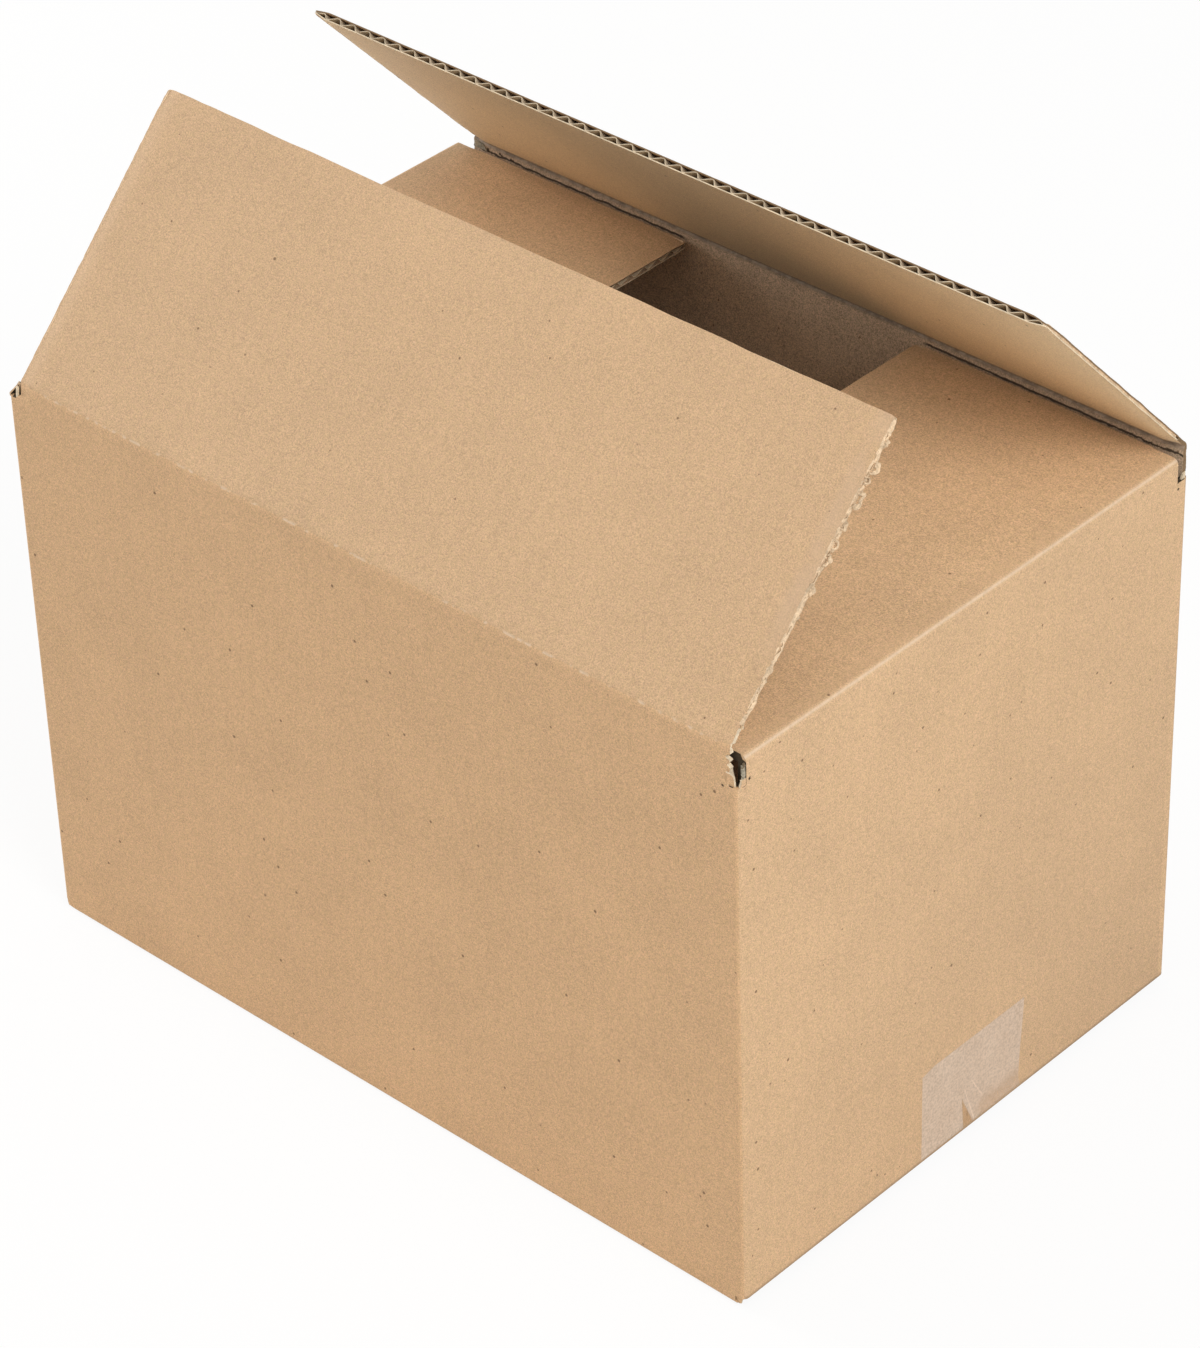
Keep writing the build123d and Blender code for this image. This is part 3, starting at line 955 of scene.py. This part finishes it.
def fluted_panel(size, name, width, reach, place, papers, seed, torn_side=0, inset=0.0, pressed=1.0, rooted=True,
                 nibbled=0, core_paper="fluting", side_paper="frayed"):
    """A flap from its root to its free edge: two liners on a fluted medium, worn along one side if any.

    The inset is how much narrower it gets past its root, pressed is how hard its sides were crushed, rooted
    says that its root was crushed too, and nibbled is the side where its root was cut back.
    """
    papers = papers + [core_paper, side_paper, "shaded_rim"]
    board = size.board
    half = width / 2
    tip = board.tip_radius
    pieces = []
    for level, inside in ((0.0, False), (-board.thickness, True)):
        liner = sheet(44, 150, width, board.stub, reach, 2.2)
        for vert in liner.data.vertices:
            u, v = vert.co.x, vert.co.y
            side = 1 if u > 0 else -1
            wear = 1.0 if side == torn_side else 0.2
            press, stray = edge_wear(board, half, u, v, seed + 9 * inside, wear, pressed * grip(board, v, rooted))
            press += board.edge_nip * (1 - smooth((reach - v) / board.crush_reach))
            u += side * stray
            corner_u, corner_v = half - tip - abs(u), reach - tip - v
            if corner_u < 0 and corner_v < 0:
                away = Vector((corner_u, corner_v)).length
                pull = min(1.0, tip / away)
                u = side * (half - tip - corner_u * pull)
                v = reach - tip - corner_v * pull
            short = board.edge_stray * abs(wander(u * 330, seed + inside, 0.5))
            v -= short * smooth(1 - (reach - v) / tip)
            vert.co = (u, v, level + (press if inside else -press))
        if inside:
            liner.data.flip_normals()
        dress(liner, name, papers)
        for face in liner.data.polygons:
            face.material_index = INSIDE if inside else OUTSIDE
        apply(liner, "SOLIDIFY", thickness=board.liner, offset=-1,
              material_offset_rim=CUT_RIM - INSIDE if inside else SHADED_RIM)
        pieces.append(liner)

    count = int(width / board.flute_spacing)
    core = sheet(count * 12, 6, width - 2 * board.fray, board.stub, reach - board.liner)
    wave = (board.thickness - 2 * board.liner - board.medium) / 2
    for vert in core.data.vertices:
        u, v = vert.co.x, vert.co.y
        press, stray = edge_wear(board, half, u, v, seed, pressed=pressed * grip(board, v, rooted))
        press += board.edge_nip * (1 - smooth((reach - v) / board.crush_reach))
        swing = cos(2 * pi * u / board.flute_spacing)
        lean = board.flute_lean * swing * smooth((half - abs(u)) / board.crush_reach)
        vert.co = (u - lean, v, (wave - press) * swing - board.thickness / 2)
    dress(core, name, papers)
    for face in core.data.polygons:
        face.material_index = CORE
    apply(core, "SOLIDIFY", thickness=board.medium, offset=0)
    pieces.append(core)

    for side in (-1, 1):
        torn = side == torn_side
        wear, tears = (1.0, TEARS) if torn else (0.2, ())
        pieces.append(torn_bead(board, half, side, reach, wear, pressed, rooted, tears, seed + side))
    if torn_side:
        for number, (spot, length, bulge) in enumerate(CURLS):
            pieces.append(torn_curl(board, half, torn_side, reach, spot, length, bulge, seed + 3 * number))
    for piece in pieces[3:]:
        dress(piece, name, papers)
        for face in piece.data.polygons:
            face.material_index = SIDE
    panel = join(pieces)
    for vert in panel.data.vertices:
        root = board.end_nibble if vert.co.x * nibbled > 0 else 0.0
        narrower = root + (inset - root) * smooth((vert.co.y - board.stub) / board.crush_reach)
        vert.co.x *= 1 - narrower / half
    panel.name = name
    settle(panel, place)
    round_off(panel)
    return panel


def basis(origin, along, outward):
    """Places a panel: its depth runs along, its outer face looks outward."""
    along, outward = Vector(along).normalized(), Vector(outward).normalized()
    across = along.cross(outward)
    turn = Matrix((across, along, outward)).transposed()
    return Matrix.Translation(Vector(origin)) @ turn.to_4x4()


def flap_basis(size, child):
    """Places a long flap at its fold line and lean."""
    side = -1 if child == "front_flap" else 1
    lean = size.lean[child]
    along = (0, -side * cos(lean), sin(lean))
    outward = (0, side * sin(lean), cos(lean))
    return basis((0, side * size.half_width, size.fold_top), along, outward)


class CARTON_OT_end_flaps(bpy.types.Operator):
    """Make the fluted end flaps at the top and the bottom"""

    bl_idname = "carton.end_flaps"
    bl_label = "Make End Flaps"

    def execute(self, context):
        size = measures(context)
        width = 2 * size.slot_y
        ends = (("right", 1), ("left", -1))
        levels = (("top", size.end_top, 1), ("bottom", size.end_bottom, -1))
        for number, (end, side) in enumerate(ends):
            for level, height, up in levels:
                place = basis((side * size.half_length, 0, height), (-side, 0, 0), (0, 0, up))
                seed = 20 + 10 * number + 40 * up
                name = f"{level}_end_flap_{end}"
                panel = fluted_panel(
                    size, name, width, size.flap_reach, place, SHELF_PAPERS, seed,
                    inset=size.board.end_inset, pressed=0.4, rooted=False, nibbled=side if up > 0 else 0,
                    core_paper="pale_fluting")
                carry(panel, "carton", "carton_body")
        return {"FINISHED"}


class CARTON_OT_bottom_flaps(bpy.types.Operator):
    """Make the two long bottom flaps that meet over the tape"""

    bl_idname = "carton.bottom_flaps"
    bl_label = "Make Bottom Flaps"

    def execute(self, context):
        size = measures(context)
        for number, (end, side) in enumerate((("front", -1), ("back", 1))):
            place = basis((0, side * size.half_width, size.bottom), (0, -side, 0), (0, 0, -1))
            name = f"bottom_flap_{end}"
            # Their side beads take the dark torn ply: painted shade under the bottom folds.
            panel = fluted_panel(
                size, name, 2 * size.slot_x, size.flap_reach, place, LONG_PAPERS, 90 + number, rooted=False,
                side_paper="torn_ply")
            carry(panel, "carton", "carton_body")
        return {"FINISHED"}


class CARTON_OT_long_flaps(bpy.types.Operator):
    """Make the two long top flaps, half raised"""

    bl_idname = "carton.long_flaps"
    bl_label = "Make Long Flaps"

    def execute(self, context):
        size = measures(context)
        for number, child in enumerate(FOLDS):
            left, right = size.overhang[child]
            place = Matrix.Translation(((right - left) / 2, 0, 0)) @ flap_basis(size, child)
            name = f"{child}_board"
            panel = fluted_panel(
                size, name, 2 * size.slot_x + left + right, size.flap_reach, place, FLAP_PAPERS, 140 + 7 * number,
                torn_side=1 if child == "front_flap" else 0)
            carry(panel, child, child)
        return {"FINISHED"}


def crease(size, child):
    """The bent and scored strip of board between a wall and its long flap."""
    board = size.board
    side = -1 if child == "front_flap" else 1
    lean = size.lean[child]
    hinge = Vector((0, side * size.half_width, size.fold_top))
    up = Vector((0, 0, 1))
    along = Vector((0, -side * cos(lean), sin(lean)))
    bend = board.crease_reach
    half = size.slot_x
    depths = board.slot_depths[:2] if side < 0 else board.slot_depths[2:]

    strip = sheet(44, 44, 2 * half, -board.crease_drop, board.stub, 2.2)
    thick = strip.vertex_groups.new(name="thickness")
    for vert in strip.data.vertices:
        u, v = vert.co.x, vert.co.y
        if abs(v) < bend:
            share = (v + bend) / (2 * bend)
            tangent = (up * (1 - share) + along * share).normalized()
            line = hinge - up * (bend * (1 - share) ** 2) + along * (bend * share ** 2)
        else:
            tangent = up if v < 0 else along
            line = hinge + tangent * v
        outward = Vector((1, 0, 0)).cross(tangent) * -side
        outward = outward if outward.dot(Vector((0, side, 0))) > 0 else -outward
        depth = depths[0 if u < 0 else 1] + board.end_drop
        fade = smooth((v + depth) / board.fold_radius)
        torn = side < 0 < u
        press, stray = edge_wear(board, half, u, v, 200 + side, 0.8 if torn else 0.2)
        place = line - outward * (press * fade)
        for spot, length, deep in NOTCHES if torn else ():
            stray -= deep * max(0.0, 1 - ((v - spot) / length) ** 2) * max(0.0, 1 - (half - u) / (2 * deep))
        left, right = size.overhang[child]
        widen = (right - left) / 2 + u / half * (left + right) / 2
        x = u + (1 if u > 0 else -1) * stray * fade + widen * smooth((v + depth) / board.crease_reach)
        vert.co = (x, place.y, place.z)
        pinch = board.score_depth * max(0.0, 1 - (abs(v) / bend) ** 2)
        thick.add([vert.index], (board.thickness - pinch - 2 * press * fade) / board.thickness, "REPLACE")
    strip.data.update()
    if strip.data.polygons[0].normal.y * side < 0:
        strip.data.flip_normals()
    # The back crease's rim is painted shade.
    rim = "raw_edge" if side < 0 else "shaded_rim"
    dress(strip, f"{child}_crease", ["kraft_flap", rim, "inner_flap", "kraft_long", rim, "inner_long"])
    for face in strip.data.polygons:
        face.material_index = 0 if face.center.z > size.fold_top else len(FLAP_PAPERS)
    apply(strip, "SOLIDIFY", thickness=board.thickness, offset=-1, vertex_group="thickness",
          material_offset=2, material_offset_rim=1)
    round_off(strip)
    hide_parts(child)
    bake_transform(strip)


class CARTON_OT_creases(bpy.types.Operator):
    """Bend the scored creases of the long flaps"""

    bl_idname = "carton.creases"
    bl_label = "Bend Creases"

    def execute(self, context):
        size = measures(context)
        for child in FOLDS:
            crease(size, child)
        return {"FINISHED"}


def chip(size, name, corners, outward, papers, lift, ragged, seed):
    """A torn chip of board with its corners from root to tip, frayed at its free edges and lifted at its tip."""
    board = size.board
    root_left, root_right, tip_right, tip_left = (Vector(corner) for corner in corners)
    outward = Vector(outward)
    plate = sheet(16, 16, 1, 0, 1)
    for vert in plate.data.vertices:
        across, along = vert.co.x + 0.5, vert.co.y
        place = root_left.lerp(root_right, across).lerp(tip_left.lerp(tip_right, across), along)
        free = max(0.0, 1 - 4 * min(across, 1 - across, 1 - along))
        spot = place * 520 + Vector((seed, 0, 0))
        stray = Vector([wander(*(spot + Vector((0, shift, 0)))) for shift in (0, 40, 80)])
        stray -= outward * stray.dot(outward)
        place += stray * (ragged * board.fray * free)
        place += outward * (lift * along * along + 0.35 * board.torn_ply * wander(*spot))
        vert.co = place
    plate.data.update()
    if plate.data.polygons[0].normal.dot(outward) < 0:
        plate.data.flip_normals()
    dress(plate, name, papers)
    apply(plate, "SOLIDIFY", thickness=2 * board.torn_ply, offset=-1, material_offset=2, material_offset_rim=1)
    for vert in plate.data.vertices:
        vert.co = [min(max(place, low), high) for place, low, high in zip(vert.co, BODY_LOW, BODY_HIGH)]
    round_off(plate)
    return plate


class CARTON_OT_chips(bpy.types.Operator):
    """Leave the torn chips of board in the corner slots"""

    bl_idname = "carton.chips"
    bl_label = "Leave Chips"

    def execute(self, context):
        size = measures(context)
        board = size.board
        ply = board.torn_ply
        long_x, end_x, end_y, long_y = size.slot_x, size.half_length, size.slot_y, size.half_width
        pale, torn, fuzz = ([paper] * 3 for paper in ("raw_edge", "torn_ply", "grey_fuzz"))
        floor = size.end_bottom + board.corner_gap
        tops = [size.end_top - depth for depth in board.slot_depths]

        def on_front(left, right, low, high, skew=0.0):
            face = ply - long_y
            return [(left, face, low), (right, face, low), (right + skew, face, high), (left + skew, face, high)]

        def on_end(side, near_y, far_y, low, high, skew=0.0, slope=0.0, sunk=ply):
            face = side * (end_x - sunk)
            return [(face, near_y, low), (face, far_y, low),
                    (face, far_y + skew, high + slope), (face, near_y + skew, high)]

        front, right, left, inward = (0, -1, 0), (1, 0, 0), (-1, 0, 0), (0, -1, 0)
        rear_x, rear_y, rear_z = -long_x, long_y - board.thickness - ply, size.end_top
        # The brow's torn ply, the far chip's dark inner face and the grey fuzz paint the shade inside the slots.
        # Name, corners, the way it faces, papers, lift at the tip and raggedness
        pieces = (
            ("slot_chip_front", on_front(long_x - 2 * ply, end_x - 0.0014, tops[1], tops[1] + 0.0040, -0.0005),
             front, LONG_PAPERS, 0.0002, 0.5),
            ("slot_chip_side",
             on_end(1, -long_y + 0.0018, -end_y + 0.0007, tops[1] + 0.0011, tops[1] + 0.0070, 0.0005),
             right, fuzz, 0.0, 1.1),
            ("slot_chip_base",
             on_end(1, -long_y + 0.0011, -end_y + 0.0012, tops[1] - 0.0010, tops[1] + 0.0024, 0.0004, sunk=0.00004),
             right, END_PAPERS, 0.0, 0.6),
            ("slot_chip_brow",
             on_end(1, -end_y - 0.0010, -end_y + ply, tops[1] + 0.0060, size.end_top - 0.0024, 0.0007),
             right, torn, 0.0, 0.8),
            ("slot_chip_left",
             on_front(-long_x - 0.0002, -long_x + 0.0006, tops[0], size.end_top + 0.0014, 0.0004),
             front, pale, 0.0, 0.3),
            ("slot_chip_far",
             on_end(-1, -long_y + 0.0004, -end_y + 0.0010, tops[0] - 0.0006, tops[0] + 0.0006, 0.0, 0.0019),
             left, ["kraft_end", "kraft_end", "dark_ply"], 0.0, 0.3),
            ("slot_chip_back", on_end(1, end_y + 0.0004, long_y - 0.0018, tops[3] - ply, tops[3] + 0.0020, 0.0006),
             right, pale, 0.0, 0.5),
            ("slot_chip_rear",
             [(rear_x + 0.0025, rear_y, rear_z - 0.0004), (rear_x + 0.0083, rear_y, rear_z - 0.0004),
              (rear_x + 0.0075, rear_y, rear_z + 0.0012), (rear_x + 0.0033, rear_y, rear_z + 0.0018)],
             inward, fuzz, 0.0, 0.5),
            ("foot_chip_front", on_front(long_x - ply, end_x - 0.0010, floor + ply, size.bottom + 0.0014, -0.0005),
             front, LONG_PAPERS, 0.0, 0.5),
            ("foot_chip_left", on_front(-end_x + 0.0010, -long_x + ply, floor + ply, size.bottom + 0.0010, 0.0005),
             front, LONG_PAPERS, 0.0, 0.5),
        )
        for number, (name, corners, outward, papers, lift, ragged) in enumerate(pieces):
            piece = chip(size, name, corners, outward, papers, lift, ragged, 300 + 11 * number)
            carry(piece, "carton", "carton_body")
        return {"FINISHED"}


# Shares of the tape's rows down to where it leaves the wall, and to where it lands on the bottom flaps
WALL_SHARE, BRIDGE_SHARE = 0.62, 0.72
# The cut corner's share of the rows and its slope
CUT_SHARE, CUT_SLOPE = 0.1, 0.22
# Wrinkles over the lower wall: place across, lean, and their half width
WRINKLES, WRINKLE_HALF = ((-0.004, 0.006), (0.003, 0.016)), 0.0006
# Falls from the tape's end over which its back edge leans in, and after which it comes out again
PULL_FALL, SPREAD_START, SPREAD_FALL = 0.028, 0.030, 0.006


def tape_path(size, film, turn_z, share, sign):
    """A point of the tape's line and the way it faces: from its end on a wall, down and under to the middle."""
    rise = TAPE_HIGH.z
    outer = TAPE_HIGH.x - film
    turn_x = size.slot_x
    if share < WALL_SHARE:
        place = Vector((outer, 0, rise + (turn_z - rise) * share / WALL_SHARE))
        facing = Vector((1, 0, 0))
    elif share < BRIDGE_SHARE:
        part = (share - WALL_SHARE) / (BRIDGE_SHARE - WALL_SHARE)
        place = Vector((outer + (turn_x - outer) * part, 0, turn_z + (film - turn_z) * part))
        facing = Vector((turn_z, 0, -(outer - turn_x))).normalized()
    else:
        part = (share - BRIDGE_SHARE) / (1 - BRIDGE_SHARE)
        place = Vector((turn_x * (1 - part), 0, film))
        facing = Vector((0, 0, -1))
    return Vector((sign * place.x, 0, place.z)), Vector((sign * facing.x, 0, facing.z))


class CARTON_OT_tape(bpy.types.Operator):
    """Stick the packing tape along the bottom seam and up both ends"""

    bl_idname = "carton.tape"
    bl_label = "Stick Tape"

    def execute(self, context):
        size = measures(context)
        tape = context.scene.carton_tape
        width = TAPE_HIGH.y - TAPE_LOW.y
        middle = (TAPE_HIGH.y + TAPE_LOW.y) / 2
        cut_line = tape.cut_corner - width / 2
        halves = []
        for sign in (1, -1):
            half = sheet(60, 100, width, 0, 1)
            for vert in half.data.vertices:
                across, share = vert.co.x, vert.co.y
                place, facing = tape_path(size, 2 * tape.film, tape.turn_height, share, sign)
                fan = 1 - smooth(abs(share - 0.48) / 0.2)
                ridge = 0.0
                for offset, lean in WRINKLES:
                    away = abs(across - offset - lean * (share - 0.3) * sign) / WRINKLE_HALF
                    ridge = max(ridge, 1 - smooth(away))
                fall = TAPE_HIGH.z - place.z
                if across < cut_line and share < CUT_SHARE:
                    place.z -= (cut_line - across) * CUT_SLOPE * (1 - share / CUT_SHARE)
                if sign > 0 and across > 0:
                    pulled = tape.pull * smooth(fall / PULL_FALL)
                    pulled -= tape.spread * smooth((fall - SPREAD_START) / SPREAD_FALL)
                    across -= pulled * across / (width / 2)
                lift = tape.wrinkle * (fan * ridge + 0.2 * wander(across * 300, share * 20, sign * 7))
                place = place + facing * min(max(lift, 0.0), tape.film)
                vert.co = (place.x, middle + across, place.z)
            halves.append(half)
        strip = join(halves)
        bpy.ops.object.mode_set(mode="EDIT")
        bpy.ops.mesh.select_all(action="SELECT")
        bpy.ops.mesh.remove_doubles(threshold=NEAR)
        bpy.ops.mesh.normals_make_consistent(inside=False)
        bpy.ops.object.mode_set(mode="OBJECT")
        dress(strip, "packing_tape", ["milky_film"])
        apply(strip, "SOLIDIFY", thickness=tape.film, offset=-1)
        round_off(strip)
        carry(strip, "carton", "bottom_tape")
        return {"FINISHED"}


def area_lamp(name, place, aim, side, power):
    """A square soft lamp that faces a point."""
    bpy.ops.object.light_add(type="AREA", location=place)
    lamp = bpy.context.object
    lamp.name = name
    lamp.rotation_mode = "QUATERNION"
    lamp.rotation_quaternion = (Vector(aim) - Vector(place)).to_track_quat("-Z", "Y")
    lamp.data.size = side
    lamp.data.energy = power


def seen_white(wire):
    """1 where the camera looks, straight, in a gloss or through a film, and 0 for the light itself."""
    seen = wire.add("ShaderNodeLightPath", out="Is Camera Ray")
    return seen.most(seen.also("Is Glossy Ray")).most(seen.also("Is Transmission Ray"))


class CARTON_OT_stage(bpy.types.Operator):
    """Set out the pale floor, the soft lamps and the camera"""

    bl_idname = "carton.stage"
    bl_label = "Set Stage"

    def execute(self, context):
        stage = context.scene.carton_stage
        if context.mode != "OBJECT":
            bpy.ops.object.mode_set(mode="OBJECT")
        bpy.ops.object.select_all(action="DESELECT")
        bpy.ops.mesh.primitive_plane_add(size=stage.floor, location=(0, 0, 0))
        floor = context.object
        floor.name = "pale_floor"
        material, shader, wire = new_material("pale_floor")
        shader.inputs["Base Color"].default_value = (0.88, 0.86, 0.83, 1)
        shader.inputs["Roughness"].default_value = 0.9
        shader.inputs["Specular IOR Level"].default_value = 0.0
        glow = wire.add("ShaderNodeEmission", None, {"Color": (1, 1, 1, 1), "Strength": 1.0})
        shaded = Wire(wire.tree, shader.outputs[0])
        mixed = wire.add(
            "ShaderNodeMixShader", None, {0: seen_white(wire) * stage.floor_glow, 1: shaded, 2: glow})
        output = wire.tree.get_output_node("ALL")
        wire.tree.links.new(mixed.socket, output.inputs["Surface"])
        floor.data.materials.append(material)

        world = bpy.data.worlds.new("studio")
        context.scene.world = world
        world.use_nodes = True
        tree = world.node_tree
        tree.nodes.clear()
        wire = Wire(tree)
        strength = seen_white(wire) * (1 - stage.sky) + stage.sky
        back = wire.add("ShaderNodeBackground", None, {"Color": (1, 1, 1, 1), "Strength": strength})
        output = tree.nodes.new("ShaderNodeOutputWorld")
        tree.links.new(back.socket, output.inputs["Surface"])

        area_lamp("key_lamp", stage.key_place, stage.lamp_aim, stage.lamp_side, stage.key_power)
        area_lamp("side_lamp", stage.side_place, stage.lamp_aim, stage.lamp_side, stage.side_power)

        bpy.ops.object.camera_add(location=stage.camera_place)
        camera = context.object
        camera.name = "camera"
        camera.rotation_mode = "QUATERNION"
        sight = (Vector(stage.camera_aim) - Vector(stage.camera_place)).to_track_quat("-Z", "Y")
        camera.rotation_quaternion = sight @ Quaternion((0, 0, 1), stage.camera_roll)
        camera.data.lens = stage.lens
        camera.data.clip_end = 100
        context.scene.camera = camera
        context.scene.view_settings.view_transform = "Standard"
        return {"FINISHED"}


OPERATORS = (
    CARTON_OT_papers,
    CARTON_OT_walls,
    CARTON_OT_end_flaps,
    CARTON_OT_bottom_flaps,
    CARTON_OT_long_flaps,
    CARTON_OT_creases,
    CARTON_OT_chips,
    CARTON_OT_tape,
    CARTON_OT_stage,
)
SETTINGS = {
    "carton_board": CartonBoardSettings,
    "carton_tape": CartonTapeSettings,
    "carton_finish": CartonFinishSettings,
    "carton_stage": CartonStageSettings,
}


class CARTON_PT_sidebar(bpy.types.Panel):
    """Lists the carton's settings and steps"""

    bl_idname = "CARTON_PT_sidebar"
    bl_label = "Open Carton"
    bl_space_type = "VIEW_3D"
    bl_region_type = "UI"
    bl_category = "Carton"

    def draw(self, context):
        for name, group in SETTINGS.items():
            box = self.layout.box()
            for key in group.__annotations__:
                box.prop(getattr(context.scene, name), key)
        for operator in OPERATORS:
            self.layout.operator(operator.bl_idname)


CLASSES = (*SETTINGS.values(), *OPERATORS, CARTON_PT_sidebar)


def register():
    for kind in CLASSES:
        bpy.utils.register_class(kind)
    for name, group in SETTINGS.items():
        setattr(bpy.types.Scene, name, PointerProperty(type=group))


def unregister():
    for name in SETTINGS:
        delattr(bpy.types.Scene, name)
    for kind in reversed(CLASSES):
        bpy.utils.unregister_class(kind)


def main():
    register()
    bpy.ops.carton.papers()
    bpy.ops.carton.walls()
    bpy.ops.carton.end_flaps()
    bpy.ops.carton.bottom_flaps()
    bpy.ops.carton.long_flaps()
    bpy.ops.carton.creases()
    bpy.ops.carton.chips()
    bpy.ops.carton.tape()
    bpy.ops.carton.stage()


if __name__ == "__main__":
    main()
